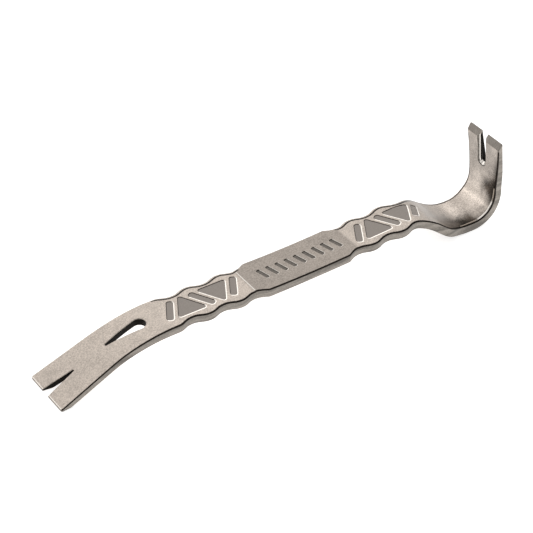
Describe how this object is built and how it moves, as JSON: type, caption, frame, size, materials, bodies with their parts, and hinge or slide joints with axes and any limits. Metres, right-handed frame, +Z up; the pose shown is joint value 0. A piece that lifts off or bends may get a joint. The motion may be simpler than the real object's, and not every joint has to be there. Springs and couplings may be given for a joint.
{
  "type": "pry bar",
  "caption": "Flat forged pry bar with a curved notched blade, a teardrop nail hole, a scalloped pocketed handle and an upturned notched claw.",
  "frame": {"origin": "on the surface that the bar rests on, midway along its length and midway across its width", "axes": "+X along the bar from the blade tip to the claw, +Y across it, +Z up, the way the claw points"},
  "size_m": [0.3794, 0.042, 0.0702],
  "materials": {
    "steel": "blasted satin",
    "enamel": "matte grey"
  },
  "bodies": {
    "root": {"forged_bar": "steel", "top_blade_side_slot_1_enamel": "enamel", "top_blade_side_slot_2_enamel": "enamel", "top_blade_side_slot_3_enamel": "enamel", "top_blade_side_triangle_1_enamel": "enamel", "top_blade_side_triangle_2_enamel": "enamel", "top_claw_side_slot_1_enamel": "enamel", "top_claw_side_slot_2_enamel": "enamel", "top_claw_side_slot_3_enamel": "enamel", "top_claw_side_triangle_1_enamel": "enamel", "top_claw_side_triangle_2_enamel": "enamel", "underside_blade_side_slot_1_enamel": "enamel", "underside_blade_side_slot_2_enamel": "enamel", "underside_blade_side_slot_3_enamel": "enamel", "underside_blade_side_triangle_1_enamel": "enamel", "underside_blade_side_triangle_2_enamel": "enamel", "underside_claw_side_slot_1_enamel": "enamel", "underside_claw_side_slot_2_enamel": "enamel", "underside_claw_side_slot_3_enamel": "enamel", "underside_claw_side_triangle_1_enamel": "enamel", "underside_claw_side_triangle_2_enamel": "enamel"}
  },
  "joints": []
}
